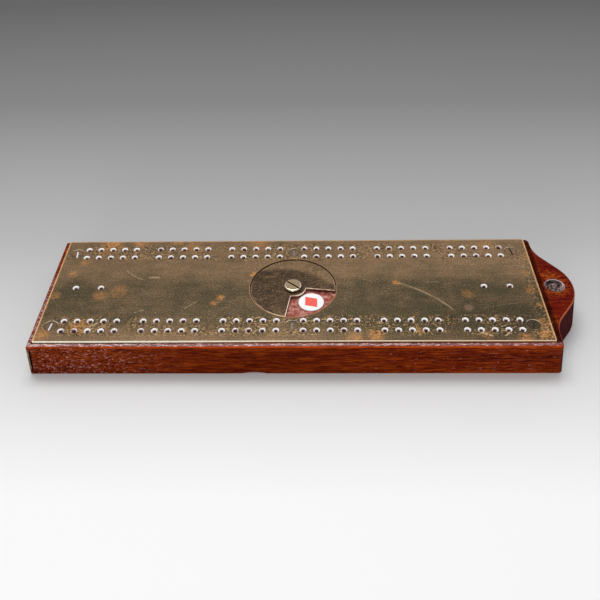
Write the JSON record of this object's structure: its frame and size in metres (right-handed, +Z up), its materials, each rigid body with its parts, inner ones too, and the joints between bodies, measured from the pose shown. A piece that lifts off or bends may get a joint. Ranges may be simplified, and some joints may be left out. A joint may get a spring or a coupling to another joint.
{
  "type": "cribbage box with drawer",
  "caption": "Mahogany cribbage box with a brass playing plate, grouped peg holes, a turning trump disc, a rounded hanging lobe and an end drawer for the pegs.",
  "frame": {"origin": "on the flat underside, straight below the pivot of the trump disc", "axes": "+X along the length towards the hanging lobe, +Y to the back, +Z up out of the brass plate; the drawer pulls out along -X"},
  "size_m": [0.2966, 0.0877, 0.0233],
  "materials": {
    "mahogany": "polished red-brown mahogany",
    "mahogany_board": "worn mahogany",
    "drawer_wood": "plain planed mahogany",
    "plate_brass": "tarnished, fine brushed",
    "disc_brass": "tarnished, fine brushed",
    "face_brass": "worn brass",
    "screw_brass": "tarnished brass",
    "pivot_brass": "pale worn brass",
    "lining": "faded red cloth",
    "leather_washer": "waxed leather",
    "bone": "polished bone",
    "ebony": "polished black wood",
    "red_inlay": "red wax inlay",
    "black_inlay": "black wax inlay"
  },
  "bodies": {
    "box": {"case": "mahogany", "bottom_board": "mahogany_board", "bottom_board_screws": "screw_brass", "top_plate": "plate_brass", "plate_screws": "screw_brass", "dial_lining": "lining", "roundel_diamond": "bone", "roundel_heart": "bone", "roundel_spade": "bone", "roundel_club": "bone", "pip_diamond": "red_inlay", "pip_heart": "red_inlay", "pip_spade": "black_inlay", "pip_club": "black_inlay", "pivot_washer": "leather_washer", "pivot_screw": "pivot_brass"},
    "disc": {"trump_disc": "disc_brass"},
    "drawer": {"drawer_face_plate": "face_brass", "drawer_face_screws": "screw_brass", "drawer_front": "mahogany", "drawer_side_front": "drawer_wood", "drawer_side_back": "drawer_wood", "drawer_back": "drawer_wood", "drawer_bottom": "drawer_wood", "drawer_divider": "drawer_wood", "pegs_light": "bone", "pegs_dark": "ebony"}
  },
  "joints": [
    {"name": "drawer_slide", "type": "slide", "parent": "box", "child": "drawer", "axis": [-1, 0, 0], "range_m": [0, 0.085]},
    {"name": "trump_disc_spin", "type": "hinge", "parent": "box", "child": "disc", "pos_m": [0, 0, 0.019], "axis": [0, 0, 1], "continuous": true}
  ]
}
